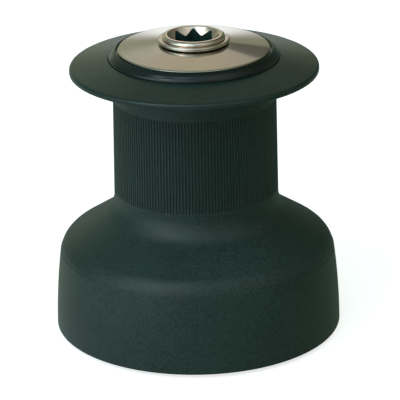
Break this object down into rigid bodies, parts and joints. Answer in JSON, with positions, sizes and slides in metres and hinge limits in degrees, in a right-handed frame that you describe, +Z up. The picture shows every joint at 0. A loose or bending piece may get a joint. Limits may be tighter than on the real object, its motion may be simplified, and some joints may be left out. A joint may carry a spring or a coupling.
{
  "type": "sailing winch",
  "caption": "Plain-top sheet winch: a flanged, ribbed drum turns on a bolted-down stem, and a star-socket spindle takes the handle.",
  "frame": {"origin": "middle of the base plate's underside, on the deck plane", "axes": "+Z up along the axis that the drum and the spindle turn on; -Y is the side that faces the picture's camera"},
  "size_m": [0.141, 0.141, 0.1502],
  "materials": {
    "anodised": "dark green-black hard-anodised, fine blasted satin",
    "crown": "black hard-anodised, smoother satin",
    "plate": "satin stainless, turned",
    "spindle": "satin stainless",
    "spring": "bright spring steel",
    "steel": "ground stainless steel",
    "cast": "grey anodised",
    "brass": "plain",
    "bush": "off-white acetal"
  },
  "bodies": {
    "base": {"base_plate": "cast", "center_stem": "cast", "stem_screws": "steel", "foot_bush": "bush", "upper_bush": "bush", "thrust_washer": "bush", "bearing_spacer": "bush", "lower_bearing_cage": "bush", "lower_bearing_rollers": "steel", "upper_bearing_cage": "bush", "upper_bearing_rollers": "steel"},
    "drum": {"drum": "anodised", "gear_ring": "steel", "lower_race": "steel", "upper_race": "steel", "crown_ring": "crown", "crown_screws": "steel", "top_plate": "plate"},
    "spindle": {"spindle": "spindle", "snap_ring": "spring", "foot_washer": "brass", "foot_circlip": "spring"}
  },
  "joints": [
    {"name": "drum_spin", "type": "hinge", "parent": "base", "child": "drum", "pos_m": [0, 0, 0], "axis": [0, 0, 1], "continuous": true},
    {"name": "spindle_spin", "type": "hinge", "parent": "base", "child": "spindle", "pos_m": [0, 0, 0], "axis": [0, 0, 1], "continuous": true}
  ]
}
